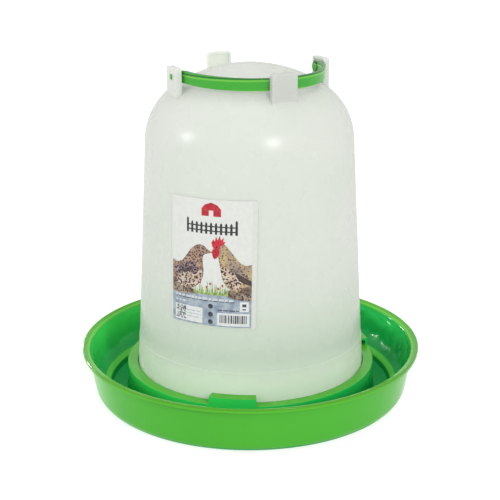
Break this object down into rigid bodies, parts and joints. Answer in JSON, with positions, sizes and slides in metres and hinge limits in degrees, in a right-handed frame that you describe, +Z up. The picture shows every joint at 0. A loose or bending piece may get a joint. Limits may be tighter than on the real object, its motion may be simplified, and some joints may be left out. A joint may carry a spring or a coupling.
{
  "type": "poultry waterer fount",
  "caption": "Round poultry drinker: a translucent dome-topped fount locks by bayonet hooks into a trough tray and carries a swinging bail handle between posts.",
  "frame": {"origin": "middle of the flat underside of the tray, on the fount's axis", "axes": "+Z up along the fount's axis; -Y is the side that faces a viewer with the label, and +X is to that viewer's right"},
  "size_m": [0.342, 0.342, 0.3343],
  "materials": {
    "tray_green": "glossy moulded polypropylene, lime green",
    "fount_translucent": "satin natural polyethylene, milky and translucent",
    "handle_green": "semi-gloss moulded polypropylene, green",
    "label_print": "printed self-adhesive film, satin"
  },
  "bodies": {
    "tray": {"drinking_tray": "tray_green"},
    "fount": {"fount": "fount_translucent", "label": "label_print"},
    "bail": {"bail_handle": "handle_green"}
  },
  "joints": [
    {"name": "bayonet_twist", "type": "hinge", "parent": "tray", "child": "fount", "pos_m": [0, 0, 0], "axis": [0, 0, -1], "range_deg": [0, 24]},
    {"name": "bail_swing", "type": "hinge", "parent": "fount", "child": "bail", "pos_m": [0, 0, 0.32517], "axis": [-0.915, -0.4035, 0], "range_deg": [-3, 185]}
  ]
}
